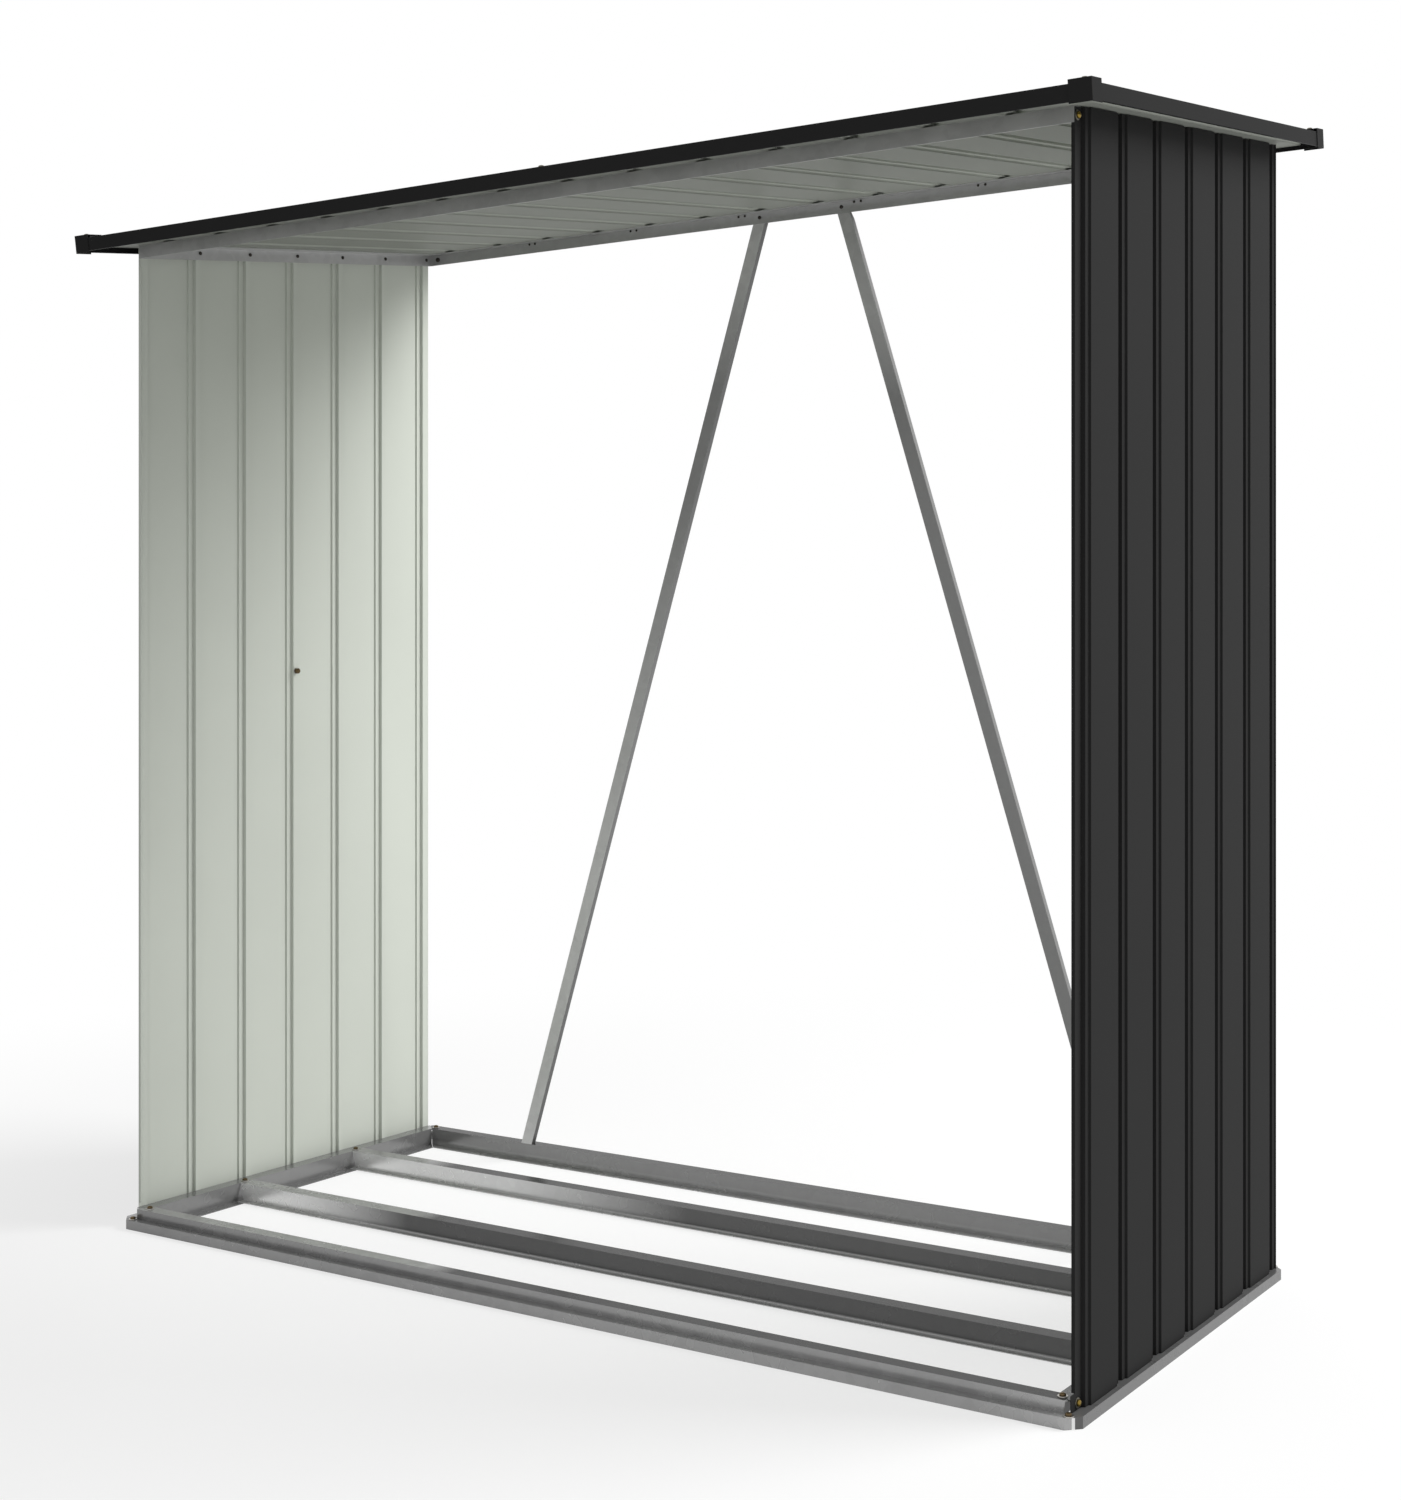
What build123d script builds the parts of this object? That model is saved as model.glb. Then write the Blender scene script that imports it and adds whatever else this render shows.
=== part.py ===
from build123d import *
import os
from math import atan, cos, radians, sin, sqrt, tan

# Open log store of folded and corrugated steel sheet, in millimetres.
# X runs along the front, Y from front to back and Z up.
# The origin is on the ground under the middle of the base.

# Overall sizes; roof height is the underside of the roof sheets over the middle of the base
base_width = 1560
base_depth = 712
side_overhang = 39
end_overhang = 51.5
roof_height = 1530.6
roof_pitch = 7.6

# Metal thicknesses
sheet = 0.8
steel = 1
plate = 1.5
cap_wall = 1.2

# Base sills, measured inwards from the outer lip
lip_height = 14
step_width = 15
sill_height = 28
sill_flange = 22
sill_foot = 19
corner_cut = 16
corner_slit = 4.2
corner_notch = 38
mitre_gap = 0.6
plate_leg = 60
plate_clearance = 0.2

# Floor bearers
bearer_spacing = 258
bearer_flange = 26
bearer_foot = 13
bearer_end_taper = 7

# Corrugation: narrow stepped strips between wide flats
strip_width = 10
ledge_width = 8.8
fold_run = 1.2
ledge_depth = 2.7
strip_depth = 7.5
lap_clearance = 1

# Side walls
wall_setback = 26
wall_back_setback = 15
wall_flats = 6
edge_strip = 17.5
edge_return = 3.6
tab_height = 20
wall_top_gap = 1

# Top rails
rail_leg = 19
rail_top = 20.7
side_rail_top = 22
rail_clearance = 0.4

# Braces at the back
brace_face = 21
brace_depth = 10
brace_foot_reach = 531
brace_head_reach = 75
brace_head_gap = 5

# Roof sheets, edge trim and corner caps
roof_sheets = 5
ribs_per_sheet = 3
rib_margin = 16.5
trim_above = 13.5
trim_below = 6
trim_flange = 14
trim_return = 4
cap_leg = 28
cap_above = 4.6
cap_below = 2.2
cap_round = 0.9

# Worked out from the sizes above
roof_width = base_width + 2 * side_overhang
roof_depth = base_depth + 2 * end_overhang
slope = tan(radians(roof_pitch))
slope_cos = cos(radians(roof_pitch))
slope_sin = sin(radians(roof_pitch))
sill_inner = step_width + sill_flange
wall_plane = base_width / 2 - step_width
wall_front = wall_setback - base_depth / 2
wall_back = base_depth / 2 - wall_back_setback
strip_half = strip_width / 2
groove_reach = strip_half + ledge_width + 2 * fold_run
cap_top = trim_above + cap_above
cap_drop = trim_below + cap_below
slope_length = (roof_depth - (cap_top + cap_drop) * slope_sin) / slope_cos
roof_shift = (cap_top - cap_drop) * slope_sin / 2


def roof_underside(y):
    return roof_height + slope * y


roof_plane = Plane(
    origin=(0, roof_shift, roof_underside(roof_shift)),
    x_dir=(1, 0, 0),
    z_dir=(0, -slope_sin, slope_cos),
)

os.makedirs("parts", exist_ok=True)


def save(builder, label):
    builder.part.label = label
    export_step(builder.part, f"parts/{label}.step")


def side_planes(frame, turn, half_run, half_in):
    """Section plane and plan plane of one side of a rectangle, counted in quarter turns."""
    runs = [frame.x_dir, frame.y_dir, -frame.x_dir, -frame.y_dir]
    run = runs[turn]
    inward = runs[(turn + 1) % len(runs)]
    corner = frame.origin - run * half_run - inward * half_in
    section = Plane(origin=corner, x_dir=inward, z_dir=run)
    plan = Plane(origin=corner, x_dir=run, z_dir=frame.z_dir)
    return section, plan


def folded(points, thickness, side):
    """Closed outline of a folded sheet from the line of one of its faces."""
    Polyline(*points)
    offset(amount=thickness, side=side, kind=Kind.INTERSECTION)


def half_groove(centre, way, depth=strip_depth):
    """Corners from a wide flat to a narrow strip, as place and depth."""
    return [
        (centre + way * groove_reach, 0),
        (centre + way * (groove_reach - fold_run), ledge_depth),
        (centre + way * (strip_half + fold_run), ledge_depth),
        (centre + way * strip_half, depth),
    ]


def groove(centre):
    return half_groove(centre, -1) + half_groove(centre, 1)[::-1]


# Base sills: one stepped section, mitred, with the lips bent towards each other at the corners
# and the raised part cut away there to leave the step clear for a bolt
sill_section = [
    (0, 0),
    (0, lip_height),
    (step_width, lip_height),
    (step_width, sill_height),
    (sill_inner, sill_height),
    (sill_inner, steel),
    (sill_inner + sill_foot, steel),
]
base_halves = [base_width / 2, base_depth / 2]
mitre_reach = sill_inner + sill_foot
mitre_shift = mitre_gap / 2
slit_skew = corner_slit / 2 / sqrt(2)
lip_skew = steel / sqrt(2)
cut_half = corner_cut / 2

for turn, side in enumerate(["front", "right", "back", "left"]):
    half_run = base_halves[turn % 2]
    half_in = base_halves[(turn + 1) % 2]
    length = 2 * half_run
    section_plane, plan_plane = side_planes(Plane.XY, turn, half_run, half_in)
    with BuildPart() as sill:
        with BuildSketch(section_plane):
            with BuildLine():
                folded(sill_section, steel, Side.RIGHT)
            make_face()
        extrude(amount=length)
        with BuildSketch(plan_plane):
            with BuildLine():
                Polyline(
                    (corner_cut, 0),
                    (length - corner_cut, 0),
                    (length - cut_half - mitre_shift, cut_half - mitre_shift),
                    (length - mitre_reach - 2 * mitre_shift, mitre_reach),
                    (mitre_reach + 2 * mitre_shift, mitre_reach),
                    (cut_half + mitre_shift, cut_half - mitre_shift),
                    close=True,
                )
            make_face()
        extrude(amount=sill_height, mode=Mode.INTERSECT)
        with BuildSketch(plan_plane):
            with BuildLine():
                Polyline(
                    (corner_cut, 0),
                    (cut_half + slit_skew, cut_half - slit_skew),
                    (cut_half + slit_skew + lip_skew, cut_half - slit_skew + lip_skew),
                    (corner_cut + lip_skew, lip_skew),
                    close=True,
                )
            make_face()
            mirror(about=Plane.YZ.offset(length / 2))
        extrude(amount=lip_height)
        with BuildSketch(plan_plane.offset(lip_height)):
            with BuildLine():
                Polyline((0, 0), (corner_notch, 0), (0, corner_notch), close=True)
            make_face()
            mirror(about=Plane.YZ.offset(length / 2))
        extrude(amount=sill_height, mode=Mode.SUBTRACT)
    save(sill, f"{side}_sill")

# Corner plates: angles under the flanges that join the sills
plate_low = step_width + steel + plate_clearance
plate_high = sill_inner - steel - plate_clearance
plate_end = plate_low + plate_leg
plate_notch = corner_notch - plate_low
plate_names = ["front_left", "front_right", "back_right", "back_left"]

for turn, corner in enumerate(plate_names):
    plan_frame = Plane.XY.offset(sill_height - steel - plate)
    _, plan_plane = side_planes(plan_frame, turn, base_halves[turn % 2], base_halves[(turn + 1) % 2])
    with BuildPart() as corner_plate:
        with BuildSketch(plan_plane):
            with BuildLine():
                Polyline(
                    (plate_low, plate_notch),
                    (plate_notch, plate_low),
                    (plate_end, plate_low),
                    (plate_end, plate_high),
                    (plate_high, plate_high),
                    (plate_high, plate_end),
                    (plate_low, plate_end),
                    close=True,
                )
            make_face()
        extrude(amount=plate)
    save(corner_plate, f"{corner}_corner_plate")

# Floor bearers: Z sections with tapered ends that stand on the feet of the side sills
bearer_half = base_width / 2 - sill_inner

for label, place in [("front_bearer", -bearer_spacing / 2), ("rear_bearer", bearer_spacing / 2)]:
    web = place - bearer_flange / 2
    with BuildPart() as bearer:
        with BuildSketch(Plane.YZ.offset(-bearer_half)):
            with BuildLine():
                folded(
                    [
                        (web + bearer_flange, sill_height),
                        (web, sill_height),
                        (web, 2 * steel),
                        (web - bearer_foot, 2 * steel),
                    ],
                    steel,
                    Side.LEFT,
                )
            make_face()
        extrude(amount=2 * bearer_half)
        with BuildSketch(Plane.XZ.offset(-base_depth / 2)):
            with BuildLine():
                Polyline(
                    (-bearer_half + bearer_end_taper, 0),
                    (bearer_half - bearer_end_taper, 0),
                    (bearer_half, sill_height),
                    (-bearer_half, sill_height),
                    close=True,
                )
            make_face()
        extrude(amount=base_depth, mode=Mode.INTERSECT)
    save(bearer, label)

# Side walls: two corrugated sheets each, lapped on the middle strip and cut to the roof slope;
# the front edges are turned in, and the right one has a tab at its foot
first_groove = wall_front + edge_strip - strip_half
wall_spacing = (wall_back - groove_reach - first_groove) / wall_flats
grooves = [first_groove + index * wall_spacing for index in range(wall_flats + 1)]
lap = wall_flats // 2
lap_half = strip_half - lap_clearance

front_line = [(wall_front, strip_depth)]
front_line += half_groove(grooves[0], 1)[::-1]
for centre in grooves[1:lap]:
    front_line += groove(centre)
front_line += half_groove(grooves[lap], -1)
front_line += [(grooves[lap] + lap_half, strip_depth)]

rear_line = [(grooves[lap] - lap_half, strip_depth - sheet)]
rear_line += half_groove(grooves[lap], 1, strip_depth - sheet)[::-1]
for centre in grooves[lap + 1:]:
    rear_line += groove(centre)

wall_cut = Plane(
    origin=(0, 0, roof_underside(0) - wall_top_gap),
    x_dir=(1, 0, 0),
    z_dir=roof_plane.z_dir,
)
wall_head = roof_underside(wall_back)
tab_reach = wall_setback - step_width
tab_middle = wall_front - tab_reach / 2
tab_top = lip_height + tab_height
rail_foot = roof_underside(wall_front) - rail_leg
foot_tab = (wall_plane + sheet / 2, tab_middle, sheet, tab_reach, lip_height, tab_top)
front_return = (wall_plane - edge_return / 2, wall_front + sheet / 2, edge_return, sheet, tab_top, rail_foot)
edge_blocks = {"left": [front_return], "right": [front_return, foot_tab]}

for hand, side, outside in [(-1, "left", Side.LEFT), (1, "right", Side.RIGHT)]:
    for place, line in [("front", front_line), ("rear", rear_line)]:
        with BuildPart() as wall:
            with BuildSketch(Plane.XY.offset(lip_height)):
                with BuildLine():
                    inner_face = [(hand * (wall_plane + strip_depth - drop), y) for y, drop in line]
                    folded(inner_face, sheet, outside)
                make_face()
            extrude(amount=wall_head - lip_height)
            if place == "front":
                for x, y, wide, deep, bottom, top in edge_blocks[side]:
                    with BuildSketch(Plane.XY.offset(bottom)):
                        with Locations((hand * x, y)):
                            Rectangle(wide, deep)
                    extrude(amount=top - bottom)
            split(bisect_by=wall_cut, keep=Keep.BOTTOM)
        save(wall, f"{side}_wall_{place}_sheet")

# Top rails: angles under the roof sheets; the front and back ones span between the walls
top_run = rail_top * slope_cos
end_rails = [
    ("front_rail", wall_front, wall_front + top_run, Side.RIGHT),
    ("back_rail", wall_back, wall_back - top_run, Side.LEFT),
]
for label, face, tip, inside in end_rails:
    with BuildPart() as rail:
        with BuildSketch(Plane.YZ.offset(-wall_plane)):
            with BuildLine():
                folded(
                    [
                        (face, roof_underside(face) - rail_leg),
                        (face, roof_underside(face)),
                        (tip, roof_underside(tip)),
                    ],
                    steel,
                    inside,
                )
            make_face()
        extrude(amount=2 * wall_plane)
    save(rail, label)

# The side rails pass under the top legs of the end rails
leg_start = wall_front + steel
leg_end = wall_back - steel
top_start = wall_front + top_run + rail_clearance
top_end = wall_back - top_run - rail_clearance
top_drop = steel / slope_cos


def under_roof(y, drop=0):
    return y, roof_underside(y) - drop


for hand, side in [(-1, "left"), (1, "right")]:
    with BuildPart() as rail:
        with BuildSketch(Plane.YZ.offset(hand * wall_plane)):
            with BuildLine():
                Polyline(
                    under_roof(leg_start, rail_leg),
                    under_roof(leg_end, rail_leg),
                    under_roof(leg_end, top_drop),
                    under_roof(top_end, top_drop),
                    under_roof(top_end),
                    under_roof(top_start),
                    under_roof(top_start, top_drop),
                    under_roof(leg_start, top_drop),
                    close=True,
                )
            make_face()
        extrude(amount=-hand * steel)
        with BuildSketch(Plane.YZ.offset(hand * wall_plane)):
            with BuildLine():
                Polyline(
                    under_roof(top_start, top_drop),
                    under_roof(top_end, top_drop),
                    under_roof(top_end),
                    under_roof(top_start),
                    close=True,
                )
            make_face()
        extrude(amount=-hand * side_rail_top)
    save(rail, f"{side}_rail")

# Braces: channels that stand on the back sill and lean to the back of the back rail
brace_foot = base_depth / 2 - sill_inner
brace_climb = roof_underside(wall_back) - rail_leg - sill_height
brace_lean = atan((wall_back - brace_foot) / brace_climb)
brace_run = brace_climb / cos(brace_lean)
brace_slant = (brace_foot_reach - brace_head_reach) / brace_run
brace_end = brace_run + rail_leg - brace_head_gap
brace_start = -brace_depth
slant_stretch = sqrt(1 + brace_slant ** 2)
brace_half = brace_face / 2 * slant_stretch
brace_hollow = brace_half - steel * slant_stretch
brace_plane = Plane(
    origin=(0, brace_foot, sill_height),
    x_dir=(1, 0, 0),
    z_dir=(0, -cos(brace_lean), sin(brace_lean)),
)


def brace_outline(hand, half):
    low = hand * (brace_foot_reach - brace_slant * brace_start)
    high = hand * (brace_foot_reach - brace_slant * brace_end)
    Polyline(
        (low - half, brace_start),
        (low + half, brace_start),
        (high + half, brace_end),
        (high - half, brace_end),
        close=True,
    )


for hand, side in [(-1, "left"), (1, "right")]:
    with BuildPart() as brace:
        with BuildSketch(brace_plane):
            with BuildLine():
                brace_outline(hand, brace_half)
            make_face()
        extrude(amount=-brace_depth)
        with BuildSketch(brace_plane.offset(-steel)):
            with BuildLine():
                brace_outline(hand, brace_hollow)
            make_face()
        extrude(amount=-brace_depth, mode=Mode.SUBTRACT)
        split(bisect_by=Plane.XY.offset(sill_height), keep=Keep.TOP)
    save(brace, f"{side}_brace")

# Roof: corrugated sheets laid from the left, each lapped over the last on a rib
sheet_half = roof_width / 2 - cap_wall - steel
sheet_run = slope_length - 2 * (cap_wall + steel)
rib_count = roof_sheets * ribs_per_sheet
rib_spacing = (roof_width - 2 * rib_margin) / rib_count
ribs = [rib_margin - roof_width / 2 + index * rib_spacing for index in range(rib_count + 1)]
back_edge = Plane(
    origin=roof_plane.from_local_coords((0, sheet_run / 2, 0)),
    x_dir=(1, 0, 0),
    z_dir=-roof_plane.y_dir,
)

for index in range(roof_sheets):
    first, *between, last = ribs[index * ribs_per_sheet:(index + 1) * ribs_per_sheet + 1]
    if index == 0:
        line = [(-sheet_half, ledge_depth)]
        line += half_groove(first, -1)[2:]
        line += half_groove(first, 1)[::-1]
    else:
        line = [(first - lap_half, strip_depth + sheet)]
        line += half_groove(first, 1, strip_depth + sheet)[::-1]
    for rib in between:
        line += groove(rib)
    line += half_groove(last, -1)
    if index == roof_sheets - 1:
        line += half_groove(last, 1)[:1:-1]
        line += [(sheet_half, ledge_depth)]
    else:
        line += [(last + lap_half, strip_depth)]
    with BuildPart() as cover:
        with BuildSketch(back_edge):
            with BuildLine():
                folded(line, sheet, Side.LEFT)
            make_face()
        extrude(amount=sheet_run)
    save(cover, f"roof_sheet_{index + 1}")

# Roof edge trim: four channels round the sheets, mitred under the corner caps
trim_section = [
    (trim_flange, trim_above),
    (0, trim_above),
    (0, -trim_below),
    (trim_return, -trim_below),
]
trim_halves = [roof_width / 2 - cap_wall, slope_length / 2 - cap_wall]
trim_floor = roof_plane.offset(-trim_below)

for turn, side in enumerate(["front", "right", "back", "left"]):
    half_run = trim_halves[turn % 2]
    half_in = trim_halves[(turn + 1) % 2]
    length = 2 * half_run
    section_plane, _ = side_planes(roof_plane, turn, half_run, half_in)
    _, plan_plane = side_planes(trim_floor, turn, half_run, half_in)
    with BuildPart() as trim:
        with BuildSketch(section_plane):
            with BuildLine():
                folded(trim_section, steel, Side.LEFT)
            make_face()
        extrude(amount=length)
        with BuildSketch(plan_plane):
            with BuildLine():
                Polyline(
                    (0, 0),
                    (length, 0),
                    (length - trim_flange, trim_flange),
                    (trim_flange, trim_flange),
                    close=True,
                )
            make_face()
        extrude(amount=trim_above + trim_below, mode=Mode.INTERSECT)
    save(trim, f"{side}_fascia")

# Corner caps: covers over the mitres of the trim, a little taller than it
cap_halves = [roof_width / 2, slope_length / 2]
cap_height = cap_drop + cap_top
cap_floor = roof_plane.offset(-cap_drop)
cap_names = ["front_left", "front_right", "back_right", "back_left"]

for turn, corner in enumerate(cap_names):
    _, plan_plane = side_planes(cap_floor, turn, cap_halves[turn % 2], cap_halves[(turn + 1) % 2])
    with BuildPart() as cap:
        with BuildSketch(plan_plane):
            Rectangle(cap_leg, cap_leg, align=(Align.MIN, Align.MIN))
        extrude(amount=cap_height)
        with BuildSketch(plan_plane):
            with Locations((cap_wall, cap_wall)):
                Rectangle(cap_leg, cap_leg, align=(Align.MIN, Align.MIN))
        extrude(amount=cap_height - cap_wall, mode=Mode.SUBTRACT)
        corner_line = Axis(plan_plane.origin, plan_plane.z_dir)
        upright = cap.edges().filter_by(corner_line).sort_by_distance(plan_plane.origin)[0]
        fillet(upright, cap_round)
    save(cap, f"{corner}_cap")
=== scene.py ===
import math

import bpy
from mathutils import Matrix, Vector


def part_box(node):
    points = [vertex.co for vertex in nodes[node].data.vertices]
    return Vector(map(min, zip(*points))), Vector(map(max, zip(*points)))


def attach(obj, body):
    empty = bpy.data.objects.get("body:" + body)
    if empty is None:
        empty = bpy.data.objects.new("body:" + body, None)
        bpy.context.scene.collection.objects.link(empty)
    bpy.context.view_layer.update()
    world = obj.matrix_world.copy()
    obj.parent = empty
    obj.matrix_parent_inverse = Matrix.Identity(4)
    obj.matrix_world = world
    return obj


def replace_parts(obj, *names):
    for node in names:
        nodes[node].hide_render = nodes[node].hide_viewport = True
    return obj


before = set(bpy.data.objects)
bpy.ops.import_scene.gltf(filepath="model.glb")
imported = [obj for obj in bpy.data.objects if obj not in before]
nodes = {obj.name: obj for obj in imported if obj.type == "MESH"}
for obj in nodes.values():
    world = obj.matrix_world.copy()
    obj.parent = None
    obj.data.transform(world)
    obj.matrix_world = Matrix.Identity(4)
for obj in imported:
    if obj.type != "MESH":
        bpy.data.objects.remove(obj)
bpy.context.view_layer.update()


# Base frame: sills, corner plates and floor bearers.
# Folded from hot-dip galvanised steel strip about a millimetre thick, mitred at the corners and
# bolted through the flanges; the zinc has a soft spangle. Its greys along the pieces, the lighter feet
# of the bearers and the darker right sill are painted light, shade and reflection.
def feed(tree, node, feeds):
    """Gives inputs of a node a plain value each, or the output of another node."""
    for label, source in feeds.items():
        if isinstance(source, bpy.types.NodeSocket):
            tree.links.new(source, node.inputs[label])
        else:
            node.inputs[label].default_value = source


def add_node(tree, kind, feeds=None, **settings):
    """New node, first with its settings made and then with its inputs fed."""
    node = tree.nodes.new(kind)
    for name, value in settings.items():
        setattr(node, name, value)
    feed(tree, node, feeds or {})
    return node


def add_math(tree, operation, *terms, **settings):
    """Output of a sum whose terms are plain numbers or the outputs of other nodes."""
    feeds = dict(enumerate(terms))
    return add_node(tree, "ShaderNodeMath", feeds, operation=operation, **settings).outputs[0]


def add_range(tree, value, low, high, start=0, end=1, **settings):
    """Output that runs from start to end while the value runs from low to high."""
    feeds = {"Value": value, "From Min": low, "From Max": high, "To Min": start, "To Max": end}
    return add_node(tree, "ShaderNodeMapRange", feeds, **settings).outputs[0]


def add_mix(tree, share, first, second, **settings):
    """Colour that goes from the first to the second as the share goes from none to all."""
    feeds = {"Factor": share, "A": first, "B": second}
    return add_node(tree, "ShaderNodeMix", feeds, data_type="RGBA", **settings).outputs["Result"]


def split_axes(tree, place):
    return add_node(tree, "ShaderNodeSeparateXYZ", {0: place}).outputs


def grey(tone):
    return (tone, tone, tone, 1)


def shader_group(name, inputs):
    """New shader group with these inputs, which is to put out a colour, a roughness and a height."""
    group = bpy.data.node_groups.new(name, "ShaderNodeTree")
    for label, kind, value in inputs:
        socket = group.interface.new_socket(label, in_out="INPUT", socket_type=kind)
        socket.default_value = value
    for label, kind in [
        ("Color", "NodeSocketColor"),
        ("Roughness", "NodeSocketFloat"),
        ("Height", "NodeSocketFloat"),
    ]:
        group.interface.new_socket(label, in_out="OUTPUT", socket_type=kind)
    return group, add_node(group, "NodeGroupInput").outputs


def zinc_spangle():
    """Zinc crystals under a cloudy bloom, with folds near the ground that can be painted lighter, a painted
    light against their shade.
    """
    group, given = shader_group(
        "zinc_spangle",
        [
            ("Place", "NodeSocketVector", (0, 0, 0)),
            ("Zinc", "NodeSocketColor", grey(0.3)),
            ("Crystals", "NodeSocketFloat", 90),
            ("Contrast", "NodeSocketFloat", 0.2),
            ("Gloss", "NodeSocketFloat", 0.3),
            ("Scuff", "NodeSocketFloat", 0),
        ],
    )
    crystal_share = 0.4
    middle_tone = 0.7
    gloss_swing = 0.2
    foot_light_full_below = 0.002
    foot_light_gone_above = 0.005
    foot_light_grey = grey(0.7)

    crystal = add_node(group, "ShaderNodeTexVoronoi", {"Vector": given["Place"], "Scale": given["Crystals"]})
    crystal_tone = add_node(group, "ShaderNodeSeparateColor", {"Color": crystal.outputs["Color"]})
    bloom = add_node(group, "ShaderNodeTexNoise", {"Vector": given["Place"], "Scale": 7, "Detail": 4})
    blend = add_math(group, "MULTIPLY_ADD", crystal_tone.outputs["Red"], crystal_share, bloom.outputs["Fac"])
    centred = add_math(group, "SUBTRACT", blend, middle_tone)
    swing = add_math(group, "MULTIPLY_ADD", centred, given["Contrast"], 1)
    shade = add_node(group, "ShaderNodeVectorMath", {0: given["Zinc"], "Scale": swing}, operation="SCALE")
    level = split_axes(group, given["Place"])["Z"]
    # near the ground the zinc can be mixed towards a bright grey: painted light against the shade at the foot
    painted_foot_light = add_range(group, level, foot_light_full_below, foot_light_gone_above, given["Scuff"], 0)
    colour = add_mix(group, painted_foot_light, shade.outputs[0], foot_light_grey)
    dull = add_math(group, "MULTIPLY_ADD", centred, gloss_swing, given["Gloss"])
    made = {"Color": colour, "Roughness": dull, "Height": bloom.outputs["Fac"]}
    add_node(group, "NodeGroupOutput", made)
    return group


def new_finish(name, group, bump, shine, **values):
    """Material whose colour, roughness and bump come from a shader group with its own values."""
    material = bpy.data.materials.new(name)
    material.use_nodes = True
    tree = material.node_tree
    feeds = {"Place": add_node(tree, "ShaderNodeTexCoord").outputs["Object"], **values}
    surface = add_node(tree, "ShaderNodeGroup", feeds, node_tree=group, name="surface")
    relief = add_node(tree, "ShaderNodeBump", {"Height": surface.outputs["Height"], **bump})
    look = {
        "Base Color": surface.outputs["Color"],
        "Roughness": surface.outputs["Roughness"],
        "Normal": relief.outputs["Normal"],
    }
    feed(tree, tree.nodes["Principled BSDF"], {**look, **shine})
    return material


spangle_group = zinc_spangle()
spangle_bump = {"Strength": 0.08, "Distance": 0.001}


def galvanised(name, tone, metal, **values):
    return new_finish(name, spangle_group, spangle_bump, {"Metallic": metal}, Zinc=grey(tone), **values)


def two_tones(tree, first, second, way, above=0):
    """The second colour on faces above a height that look along the way, the first on all others."""
    least_facing = 0.1
    place = add_node(tree, "ShaderNodeTexCoord").outputs
    along = add_node(tree, "ShaderNodeVectorMath", {0: place["Normal"], 1: way}, operation="DOT_PRODUCT")
    turned = add_math(tree, "GREATER_THAN", along.outputs["Value"], least_facing)
    raised = add_math(tree, "GREATER_THAN", split_axes(tree, place["Object"])["Z"], above)
    both = add_math(tree, "MULTIPLY", turned, raised)
    return add_mix(tree, both, first, second, name="tones")


def grey_ramp(tree, share, reach, greys):
    """Greys along a piece, given as pairs of a distance in metres, up to the reach, and the grey there."""
    ramp = add_node(tree, "ShaderNodeValToRGB", {0: share})
    stops = ramp.color_ramp.elements
    stops.remove(stops[1])
    for number, (distance, tone) in enumerate(greys):
        position = distance / reach
        stop = stops.new(position) if number else stops[0]
        stop.position = position
        stop.color = grey(tone)
    return ramp.outputs["Color"]


def zinc_with_painted_light(name, axis, start, reach, face, flange, flange_way, metal, edge, **values):
    """Zinc in greys that change along an axis, with greys of its own for the flange, both painted light,
    shade and reflection.

    The edge is the grey that the zinc mirrors where it is seen at a low angle.
    """
    flanges_above = 0.02
    material = galvanised(name, 1, metal, **values)
    tree = material.node_tree
    place = add_node(tree, "ShaderNodeTexCoord").outputs["Object"]
    share = add_range(tree, split_axes(tree, place)[axis], start, start + reach)
    face_grey = grey_ramp(tree, share, reach, face)
    flange_grey = grey_ramp(tree, share, reach, flange)
    zinc = two_tones(tree, face_grey, flange_grey, flange_way, flanges_above)
    feed(tree, tree.nodes["surface"], {"Zinc": zinc})
    feed(tree, tree.nodes["Principled BSDF"], {"Specular Tint": grey(edge)})
    return material


def wear(names, material):
    """Gives the named pieces a finish."""
    for name in names:
        for slot in nodes[name].material_slots:
            slot.material = material


sides = ["front", "right", "back", "left"]
corners = ["front_left", "front_right", "back_right", "back_left"]
up = (0, 0, 1)
sill_strip = {"metal": 0.5, "Crystals": 80, "Gloss": 0.24}
painted_light_strip = {"edge": 0.4, **sill_strip}
right_sill_strip = {"metal": 0.15, "Crystals": 80, "Gloss": 0.3}
plate_strip = {"metal": 0.5, "Crystals": 120, "Contrast": 0.3}
wear(["left_sill"], galvanised("sill_zinc", tone=0.26, **sill_strip))
# the right sill is a darker copy of the sill zinc: painted shade against the lamp's light on it
wear(["right_sill"], galvanised("right_sill_painted_shade", tone=0.125, **right_sill_strip))
wear([f"{corner}_corner_plate" for corner in corners], galvanised("plate_zinc", tone=0.28, **plate_strip))

sill_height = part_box("back_sill")[1].z
# the back sill is painted lighter low on its face and dark on its flange: painted light at its foot and
# painted shade on the flange
back_face = [(0.0, 0.5), (0.011, 0.26)]
back_flange = [(0.0, 0.09)]
back_zinc = zinc_with_painted_light("back_zinc", "Z", 0, sill_height, back_face, back_flange, up, **painted_light_strip)
wear(["back_sill"], back_zinc)

front_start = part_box("front_sill")[0].x
front_length = -2 * front_start
# the front sill's greys change along its length, its flange bright at the left and dark beyond: painted
# reflection and painted shade
front_face = [(0.08, 0.29), (1.18, 0.42)]
front_flange = [(0.58, 0.55), (0.63, 0.06), (1.5, 0.1)]
front_zinc = zinc_with_painted_light(
    "front_zinc", "X", front_start, front_length, front_face, front_flange, up, **painted_light_strip
)
wear(["front_sill"], front_zinc)

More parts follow.
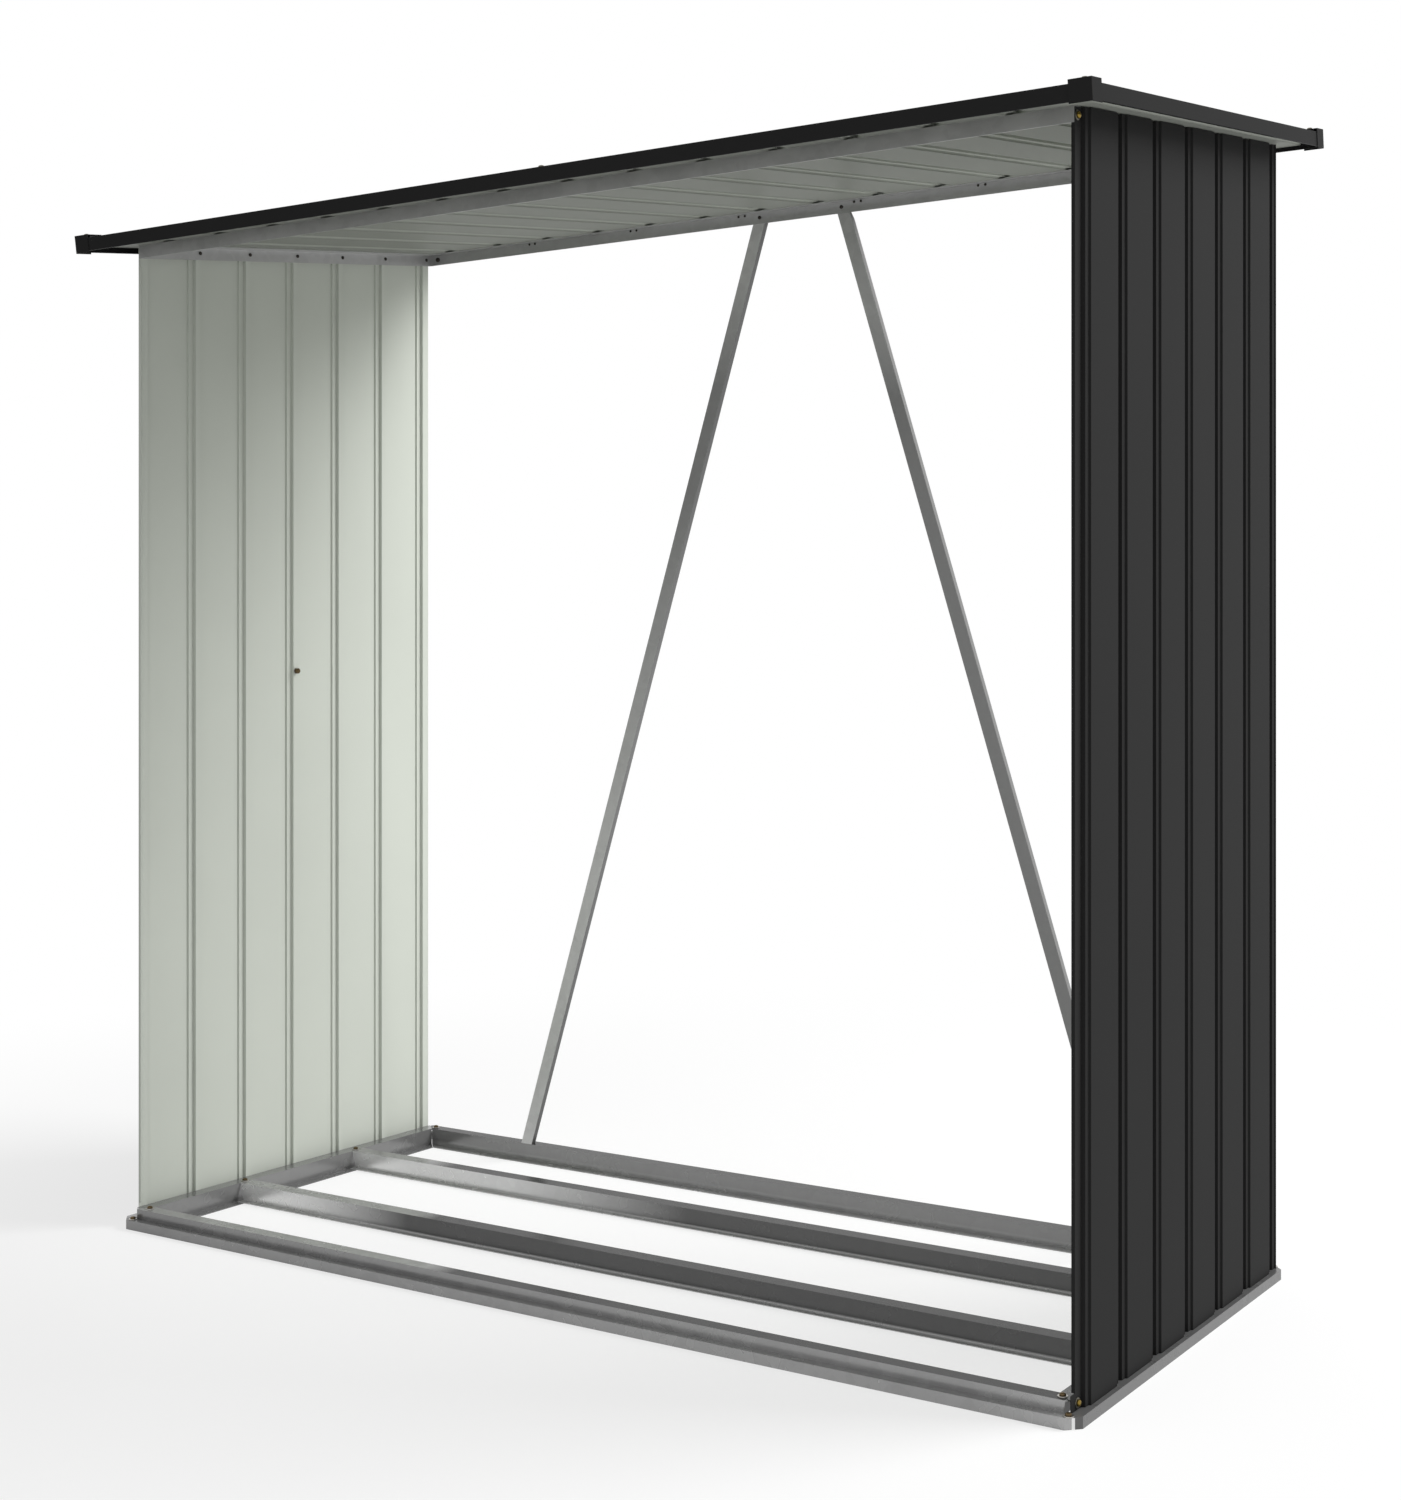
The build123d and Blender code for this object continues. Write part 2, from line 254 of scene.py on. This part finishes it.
bearer_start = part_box("front_bearer")[0].x
bearer_length = -2 * bearer_start
# each bearer is painted bright at its left end and dark further along, on face and flange, and lighter at its
# foot: painted reflection, painted shade and painted light
for bearer, face, flange in [
    (
        "front_bearer",
        [(0.04, 0.9), (0.14, 0.74), (0.35, 0.11), (1.34, 0.13)],
        [(0.36, 0.5), (0.40, 0.06), (1.34, 0.1)],
    ),
    (
        "rear_bearer",
        [(0.04, 0.9), (0.14, 0.7), (0.34, 0.67), (0.68, 0.12), (1.24, 0.12)],
        [(0.16, 0.45), (0.21, 0.05), (1.24, 0.09)],
    ),
]:
    bearer_zinc = zinc_with_painted_light(
        f"{bearer}_zinc", "X", bearer_start, bearer_length, face, flange, up, Scuff=1, **painted_light_strip
    )
    wear([bearer], bearer_zinc)


# Side walls: two sheets a side, lapped on the middle strip.
# Roll-formed steel coated anthracite on the weather face and pale grey-green on the inner face,
# with the fine orange peel of a baked coating; screwed to the sills and rails along the strips.
def coat_texture():
    """Slow drift of tone and gloss over a baked coating, with a fine orange peel."""
    group, given = shader_group(
        "coat_texture",
        [
            ("Place", "NodeSocketVector", (0, 0, 0)),
            ("Paint", "NodeSocketColor", grey(0.05)),
            ("Drift", "NodeSocketFloat", 0.1),
            ("Gloss", "NodeSocketFloat", 0.4),
        ],
    )
    middle_drift = 0.5
    gloss_swing = 0.12
    drift = add_node(group, "ShaderNodeTexNoise", {"Vector": given["Place"], "Scale": 3, "Detail": 5})
    peel = add_node(group, "ShaderNodeTexNoise", {"Vector": given["Place"], "Scale": 420, "Detail": 1})
    centred = add_math(group, "SUBTRACT", drift.outputs["Fac"], middle_drift)
    swing = add_math(group, "MULTIPLY_ADD", centred, given["Drift"], 1)
    shade = add_node(group, "ShaderNodeVectorMath", {0: given["Paint"], "Scale": swing}, operation="SCALE")
    dull = add_math(group, "MULTIPLY_ADD", centred, gloss_swing, given["Gloss"])
    made = {"Color": shade.outputs[0], "Roughness": dull, "Height": peel.outputs["Fac"]}
    add_node(group, "NodeGroupOutput", made)
    return group


coat_group = coat_texture()
coat_bump = {"Strength": 0.06, "Distance": 0.0004}
coat_shine = {"Specular IOR Level": 0.006}
satin = 0.42


def coated(name, colour, gloss):
    return new_finish(name, coat_group, coat_bump, coat_shine, Paint=colour, Drift=0.14, Gloss=gloss)


def coated_sheet(name, outer, inner, inner_way):
    """Two-coloured sheet: faces that look along the inner way are pale, all others dark.

    An inner way that leans forward takes in the front edge, so that it is pale too.
    """
    material = coated(name, outer, satin)
    tree = material.node_tree
    paint = two_tones(tree, outer, inner, inner_way)
    feed(tree, tree.nodes["surface"], {"Paint": paint})
    return material


anthracite = grey(0.0275)
pale_green = (0.62, 0.65, 0.59, 1)
for side, inner_way in [("left", (1, -0.25, 0)), ("right", (-1, 0, 0))]:
    wall_coat = coated_sheet(f"{side}_wall_coat", anthracite, pale_green, inner_way)
    wear([f"{side}_wall_front_sheet", f"{side}_wall_rear_sheet"], wall_coat)


# Top rails and back braces.
# Galvanised strip like that of the base, folded into angles for the rails, which hang under the roof
# between the walls, and into channels for the braces, which lean from the back sill to the back rail.
def add_object(name, data):
    thing = bpy.data.objects.new(name, data)
    bpy.context.scene.collection.objects.link(thing)
    return thing


def add_piece(name, mesh):
    piece = add_object(name, mesh)
    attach(piece, "root")
    return piece


rail_zinc = galvanised("rail_zinc", tone=0.48, metal=0.6, Gloss=0.36)
wear([f"{side}_rail" for side in sides], rail_zinc)

brace_low, brace_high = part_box("right_brace")
rail_low, rail_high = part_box("back_rail")
to_right = (1, 0, 0)
brace_strip = {"metal": 0.4, "edge": 1, "Gloss": 0.45}
# the braces' greys change up their height and their flanges are darker: painted light, shade and reflection
left_face = [(0.48, 0.64), (1.13, 0.26), (1.3, 0.28), (1.475, 0.64)]
left_flange = [(0.0, 0.11), (0.75, 0.2), (1.25, 0.117)]
left_zinc = zinc_with_painted_light(
    "left_brace_zinc", "Z", 0, brace_high.z, left_face, left_flange, to_right, **brace_strip
)
wear(["left_brace"], left_zinc)
right_face = [(0.0, 0.27), (1.255, 0.25), (1.41, 0.54)]
right_flange = [(0.0, 0.25)]
right_zinc = zinc_with_painted_light(
    "right_brace_zinc", "Z", 0, brace_high.z, right_face, right_flange, to_right, **brace_strip
)

# the right brace stands further out than a mirrored left one, and its flanges are cut at a slant on top
brace_foot_middle = 0.5686
brace_head_middle = 0.0816
brace_half = 0.01105
brace_depth = 0.010
brace_wall = 0.001
brace_head_cut = 0.023
inner_half = brace_half - brace_wall
channel = [
    (-brace_half, 0),
    (brace_half, 0),
    (brace_half, brace_depth),
    (inner_half, brace_depth),
    (inner_half, brace_wall),
    (-inner_half, brace_wall),
    (-inner_half, brace_depth),
    (-brace_half, brace_depth),
]


def brace_point(across, back, height):
    """Point of the channel, counted from the middle of its face; the face leans back to the rail."""
    share = (height - brace_low.z) / (rail_low.z - brace_low.z)
    x = brace_foot_middle + share * (brace_head_middle - brace_foot_middle) + across
    y = brace_low.y + share * (rail_high.y - brace_low.y) + back
    return x, y, height


brace_points = [brace_point(across, back, brace_low.z) for across, back in channel]
for across, back in channel:
    brace_points.append(brace_point(across, back, brace_high.z - brace_head_cut * back / brace_depth))
points_at_foot = len(channel)
brace_faces = []
for here in range(points_at_foot):
    there = (here + 1) % points_at_foot
    brace_faces.append((here, there, there + points_at_foot, here + points_at_foot))
# each end is closed over the face and over the two flanges
for end in [(0, 1, 4, 5), (1, 2, 3, 4), (5, 6, 7, 0)]:
    brace_faces.append(end[::-1])
    brace_faces.append([point + points_at_foot for point in end])
brace_mesh = bpy.data.meshes.new("right_brace_channel")
brace_mesh.from_pydata(brace_points, [], brace_faces)
brace_mesh.materials.append(right_zinc)
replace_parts(add_piece("right_brace_channel", brace_mesh), "right_brace")


# Roof: five corrugated sheets lapped on their ribs.
# The same coated steel as the walls, screwed down on the rails, anthracite on top and pale beneath,
# where the pale coat is darkened as painted shade, the flats more than the hollows of the ribs, which are
# painted lighter against their own shade.
roof_lean = math.radians(7.6)
roof_rise = math.tan(roof_lean)
roof_middle = 1.5306
flat_level = roof_middle + 0.0003
hollow_level = roof_middle + 0.0025
# both greys beneath are darker copies of the walls' pale coat: painted shade, with less of it in the rib
# hollows
roof_flat_painted_shade = (0.255, 0.266, 0.241, 1)
roof_hollow_painted_shade = (0.38, 0.397, 0.36, 1)
down = (0, 0, -1)
roof_coat = coated_sheet("roof_coat", anthracite, roof_flat_painted_shade, down)
roof_tree = roof_coat.node_tree
roof_place = split_axes(roof_tree, add_node(roof_tree, "ShaderNodeTexCoord").outputs["Object"])
roof_level = add_math(roof_tree, "MULTIPLY_ADD", roof_place["Y"], -roof_rise, roof_place["Z"])
roof_depth = add_range(roof_tree, roof_level, flat_level, hollow_level)
roof_painted_shade_tone = add_mix(roof_tree, roof_depth, roof_flat_painted_shade, roof_hollow_painted_shade)
feed(roof_tree, roof_tree.nodes["tones"], {"B": roof_painted_shade_tone})
wear([f"roof_sheet_{number}" for number in range(1, 6)], roof_coat)


# Roof edge trim and corner caps.
# Folded steel channels in a satin black coating, screwed on round the roof sheets, with moulded caps
# of the same colour screwed over the mitres.
trim_black = grey(0.026)
cap_gloss = 0.45
wear([f"{side}_fascia" for side in sides], coated("trim_coat", trim_black, satin))
wear([f"{corner}_cap" for corner in corners], coated("cap_coat", trim_black, cap_gloss))


# Bolts and screws.
# Zinc-plated steel, tinted yellow to brown or left grey: round heads in the joints of the base,
# walls, rails, roof and trim, on flat washers at the base, on the walls and over the roof; the dark
# heads on the rails and the brace tops are painted shade, standing for dark holes and slots.
def button_tree():
    """One round head on each spot, turned to look along the spot's way."""
    tree = bpy.data.node_groups.new("button_heads", "GeometryNodeTree")
    for label, kind in [
        ("Spots", "NodeSocketGeometry"),
        ("Diameter", "NodeSocketFloat"),
        ("Height", "NodeSocketFloat"),
        ("Roundness", "NodeSocketFloat"),
        ("Lift", "NodeSocketFloat"),
        ("Finish", "NodeSocketMaterial"),
    ]:
        tree.interface.new_socket(label, in_out="INPUT", socket_type=kind)
    tree.interface.new_socket("Heads", in_out="OUTPUT", socket_type="NodeSocketGeometry")
    given = add_node(tree, "NodeGroupInput").outputs

    # a ball of the diameter, its lower half pressed flat and its upper half drawn to the height
    radius = add_math(tree, "DIVIDE", given["Diameter"], 2)
    ball = add_node(tree, "GeometryNodeMeshUVSphere", {"Segments": 20, "Rings": 14, "Radius": radius})
    place = split_axes(tree, add_node(tree, "GeometryNodeInputPosition").outputs[0])
    share = add_math(tree, "DIVIDE", place["Z"], radius, use_clamp=True)
    curve = add_math(tree, "POWER", share, given["Roundness"])
    rise = add_math(tree, "MULTIPLY", curve, given["Height"])
    moved = add_node(tree, "ShaderNodeCombineXYZ", {"X": place["X"], "Y": place["Y"], "Z": rise})
    pressed = {"Geometry": ball.outputs["Mesh"], "Position": moved.outputs[0]}
    head = add_node(tree, "GeometryNodeSetPosition", pressed)
    smooth = add_node(tree, "GeometryNodeSetShadeSmooth", {"Geometry": head.outputs[0]})

    # the spots are raised by the lift, and each gets a head
    way = add_node(tree, "GeometryNodeInputNamedAttribute", {"Name": "way"}, data_type="FLOAT_VECTOR")
    lift = {0: way.outputs["Attribute"], "Scale": given["Lift"]}
    raised = add_node(tree, "ShaderNodeVectorMath", lift, operation="SCALE")
    moved_spots = {"Geometry": given["Spots"], "Offset": raised.outputs[0]}
    spots = add_node(tree, "GeometryNodeSetPosition", moved_spots)
    turn = add_node(tree, "FunctionNodeAlignRotationToVector", {"Vector": way.outputs["Attribute"]}, axis="Z")
    setting = {"Points": spots.outputs[0], "Instance": smooth.outputs[0], "Rotation": turn.outputs[0]}
    placed = add_node(tree, "GeometryNodeInstanceOnPoints", setting)
    real = add_node(tree, "GeometryNodeRealizeInstances", {"Geometry": placed.outputs[0]})
    plating = {"Geometry": real.outputs[0], "Material": given["Finish"]}
    finished = add_node(tree, "GeometryNodeSetMaterial", plating)
    add_node(tree, "NodeGroupOutput", {"Heads": finished.outputs[0]})
    return tree


head_maker = button_tree()
head_sockets = {}
for item in head_maker.interface.items_tree:
    if item.in_out == "INPUT":
        head_sockets[item.name] = item.identifier


def add_heads(name, spots, finish, size, lift=0.0):
    """One piece with a head on every spot, a spot being a place and the way that its face looks."""
    mesh = bpy.data.meshes.new(f"{name}_spots")
    mesh.from_pydata([place for place, way in spots], [], [])
    ways = mesh.attributes.new("way", "FLOAT_VECTOR", "POINT")
    for mark, (place, way) in zip(ways.data, spots):
        mark.vector = way
    carrier = add_object(f"{name}_spots", mesh)
    modifier = carrier.modifiers.new("heads", "NODES")
    modifier.node_group = head_maker
    for label, value in {**size, "Lift": lift, "Finish": finish}.items():
        modifier[head_sockets[label]] = value
    made = carrier.evaluated_get(bpy.context.evaluated_depsgraph_get())
    heads = bpy.data.meshes.new_from_object(made)
    bpy.data.objects.remove(carrier)
    add_piece(name, heads)


plating_bump = {"Strength": 0.1, "Distance": 0.0002}


def plated(name, colour, gloss):
    return new_finish(name, coat_group, plating_bump, {"Metallic": 1}, Paint=colour, Drift=0.5, Gloss=gloss)


yellow_zinc = plated("yellow_zinc", colour=(0.4, 0.25, 0.07, 1), gloss=0.3)
olive_zinc = plated("olive_zinc", colour=(0.26, 0.18, 0.04, 1), gloss=0.3)
brown_zinc = plated("brown_zinc", colour=(0.12, 0.085, 0.045, 1), gloss=0.25)
bright_zinc = plated("bright_zinc", colour=(0.5, 0.48, 0.45, 1), gloss=0.35)
dull_zinc = plated("dull_zinc", colour=(0.17, 0.16, 0.13, 1), gloss=0.35)
# dark heads: the roof's dark washers, and painted shade of the holes and slots in the rails
dark_zinc_and_hole_shade = plated("dark_zinc_and_hole_shade", colour=(0.05, 0.045, 0.04, 1), gloss=0.35)

hands = [-1, 1]
to_front = (0, -1, 0)
head_size = {"Diameter": 0.0082, "Height": 0.0034, "Roundness": 0.55}
washer_size = {"Diameter": 0.0125, "Height": 0.0011, "Roundness": 0.12}
washer_top = washer_size["Height"]

step_top = 0.014
flange_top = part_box("front_sill")[1].z
step_bolt_y = 0.348
flange_bolt_y = 0.329
bearer_bolt_y = 0.128
base_spots = []
for step_bolt_x, flange_bolt_x, bearer_bolt_x in [(-0.758, -0.742, -0.747), (0.766, 0.7505, 0.747)]:
    for end in [-1, 1]:
        base_spots.append(((step_bolt_x, end * step_bolt_y, step_top), up))
        base_spots.append(((flange_bolt_x, end * flange_bolt_y, flange_top), up))
        base_spots.append(((bearer_bolt_x, end * bearer_bolt_y, flange_top), up))
add_heads("base_washers", base_spots, bright_zinc, washer_size)
add_heads("base_bolts", base_spots, brown_zinc, head_size, washer_top)

strip_outside = 0.7658
front_strip = -0.3235
bolt_foot = 0.022
bolt_drop = 0.0105
bolt_head = roof_middle + roof_rise * front_strip - bolt_drop
wall_spots = []
for hand in hands:
    for z in [bolt_foot, bolt_head]:
        wall_spots.append(((hand * strip_outside, front_strip, z), (hand, 0, 0)))
add_heads("wall_washers", wall_spots, dull_zinc, washer_size)
add_heads("wall_bolts", wall_spots, olive_zinc, head_size, washer_top)

lap_strip = 0.0038
lap_height = 0.839
lap_inside = 0.765
lap_washer_size = {"Diameter": 0.0098, "Height": 0.0011, "Roundness": 0.12}
lap_screw_size = {"Diameter": 0.0092, "Height": 0.007, "Roundness": 0.3}
lap_spots = [((hand * lap_inside, lap_strip, lap_height), (-hand, 0, 0)) for hand in hands]
add_heads("lap_washers", lap_spots, bright_zinc, lap_washer_size)
add_heads("lap_screws", lap_spots, brown_zinc, lap_screw_size, washer_top)

# dark heads at the ends of the back rail: painted shade of the slots there
rail_inside = 0.340
rail_end = 0.747
rail_slot_height = 1.5665
rail_spots = [((hand * rail_end, rail_inside, rail_slot_height), to_front) for hand in hands]
add_heads("rail_end_slot_shades", rail_spots, dark_zinc_and_hole_shade, head_size)

small_size = {"Diameter": 0.006, "Height": 0.002, "Roundness": 0.5}
# dark dots on the brace tops and along the side rails: painted shade of the holes there
brace_bolt_height = 1.567
brace_heads = [-0.073, 0.078]
brace_spots = [((x, rail_inside, brace_bolt_height), to_front) for x in brace_heads]
side_rail_inside = 0.764
side_rail_front = -0.314
side_hole_drop = 0.0085
strip_spacing = 0.10706
side_spots = []
for hand in hands:
    for number in range(1, 7):
        y = side_rail_front + strip_spacing * number
        z = roof_middle + roof_rise * y - side_hole_drop
        side_spots.append(((hand * side_rail_inside, y, z), (-hand, 0, 0)))
add_heads("brace_bolts_and_side_rail_hole_shades", brace_spots + side_spots, dark_zinc_and_hole_shade, small_size)

roof_way = (0, -math.sin(roof_lean), math.cos(roof_lean))


def on_roof(x, y, height):
    """Spot over the underside of the roof sheets, a height out along the roof's own way."""
    z = roof_middle + roof_rise * y
    return (x, y + height * roof_way[1], z + height * roof_way[2]), roof_way


dome_size = {"Diameter": 0.0076, "Height": 0.0026, "Roundness": 0.5}
cap_top = 0.0181
cap_middle = 0.806
cap_rows = [-0.393, 0.386]
cap_spots = [on_roof(hand * cap_middle, y, cap_top) for hand in hands for y in cap_rows]
add_heads("cap_screws", cap_spots, dull_zinc, dome_size)

trim_top = 0.0135
trim_screw_x = 0.06
trim_rows = [-0.3975, 0.3985]
trim_spots = [on_roof(trim_screw_x, y, trim_top) for y in trim_rows]
add_heads("trim_screws", trim_spots, dull_zinc, dome_size)

sheet_top = 0.0008
first_flat = -0.535
flat_spacing = 0.214
flat_middles = [first_flat + flat_spacing * number for number in range(6)]
screw_rows = [-0.320, 0.331]
roof_spots = [on_roof(x, y, sheet_top) for x in flat_middles for y in screw_rows]
add_heads("roof_washers", roof_spots, dark_zinc_and_hole_shade, washer_size)
add_heads("roof_screws", roof_spots, yellow_zinc, head_size, washer_top)

# pairs of dark dots along the back rail: painted shade of its slots
back_slot_size = {"Diameter": 0.0042, "Height": 0.0008, "Roundness": 0.3}
back_slot_height = 1.5725
pair_half = 0.006
back_spots = []
for x in flat_middles:
    for hand in hands:
        back_spots.append(((x + hand * pair_half, rail_inside, back_slot_height), to_front))
add_heads("back_rail_slot_shades", back_spots, dark_zinc_and_hole_shade, back_slot_size)


# Floor, light and camera.
# A plain pale floor and backdrop that show white, soft light all round and one broad lamp from
# behind on the right, which reaches the inner face of the left wall through the open back.
def backdrop_rays(tree):
    """Share of the rays that show the floor or backdrop as such, straight or in other things."""
    path = add_node(tree, "ShaderNodeLightPath").outputs
    seen = path["Is Camera Ray"]
    for kind in ["Is Glossy Ray", "Is Transmission Ray"]:
        seen = add_math(tree, "ADD", seen, path[kind], use_clamp=True)
    return seen


floor_half = 12
floor_tone_lit = 0.9
floor_white_near = 0.7
fade_start = 0.9
fade_end = 2.6
floor_corners = [(x * floor_half, y * floor_half, 0) for x, y in [(-1, -1), (1, -1), (1, 1), (-1, 1)]]
floor_mesh = bpy.data.meshes.new("floor")
floor_mesh.from_pydata(floor_corners, [], [(0, 1, 2, 3)])
floor = add_object("floor", floor_mesh)
floor_finish = bpy.data.materials.new("pale_floor")
floor_finish.use_nodes = True
floor_tree = floor_finish.node_tree
floor_shader = floor_tree.nodes["Principled BSDF"]
floor_seen = backdrop_rays(floor_tree)
floor_tone = add_range(floor_tree, floor_seen, 0, 1, floor_tone_lit, 1)
feed(floor_tree, floor_shader, {"Base Color": floor_tone, "Roughness": 0.9, "Specular IOR Level": 0})
floor_place = add_node(floor_tree, "ShaderNodeTexCoord").outputs["Object"]
floor_reach = add_node(floor_tree, "ShaderNodeVectorMath", {0: floor_place}, operation="LENGTH")
floor_fade = add_range(
    floor_tree, floor_reach.outputs["Value"], fade_start, fade_end, floor_white_near, 1,
    interpolation_type="SMOOTHSTEP",
)
floor_white = add_math(floor_tree, "MULTIPLY", floor_seen, floor_fade)
floor_light = add_node(floor_tree, "ShaderNodeEmission")
floor_looks = {0: floor_white, 1: floor_shader.outputs[0], 2: floor_light.outputs[0]}
floor_mix = add_node(floor_tree, "ShaderNodeMixShader", floor_looks)
feed(floor_tree, floor_tree.nodes["Material Output"], {"Surface": floor_mix.outputs[0]})
floor_mesh.materials.append(floor_finish)

sky_light = 0.4
world = bpy.data.worlds.new("studio")
bpy.context.scene.world = world
world.use_nodes = True
world_tree = world.node_tree
sky_strength = add_range(world_tree, backdrop_rays(world_tree), 0, 1, sky_light, 1)
feed(world_tree, world_tree.nodes["Background"], {"Color": grey(1), "Strength": sky_strength})

lamp_place = (3.9, 2.9, 4.6)
lamp_target = (-0.3, 0, 0.4)
lamp = bpy.data.lights.new("right_lamp", "AREA")
lamp.energy = 405
lamp.shape = "SQUARE"
lamp.size = 3.5
stand = add_object("right_lamp", lamp)
stand.location = lamp_place
aim_x, aim_y, aim_z = [there - here for here, there in zip(lamp_place, lamp_target)]
stand.rotation_euler = (math.atan2(math.hypot(aim_x, aim_y), -aim_z), 0, math.atan2(-aim_x, aim_y))
stand.visible_glossy = False

camera = bpy.data.cameras.new("camera")
camera.lens = 51.26
camera.sensor_width = 36
camera.shift_x = -0.01433
camera.shift_y = -0.06528
viewer = add_object("camera", camera)
viewer.location = (1.7458, -2.5649, 0.870)
viewer.rotation_euler = (math.radians(90), 0, math.radians(33.06))
bpy.context.scene.camera = viewer
bpy.context.scene.view_settings.view_transform = "Standard"
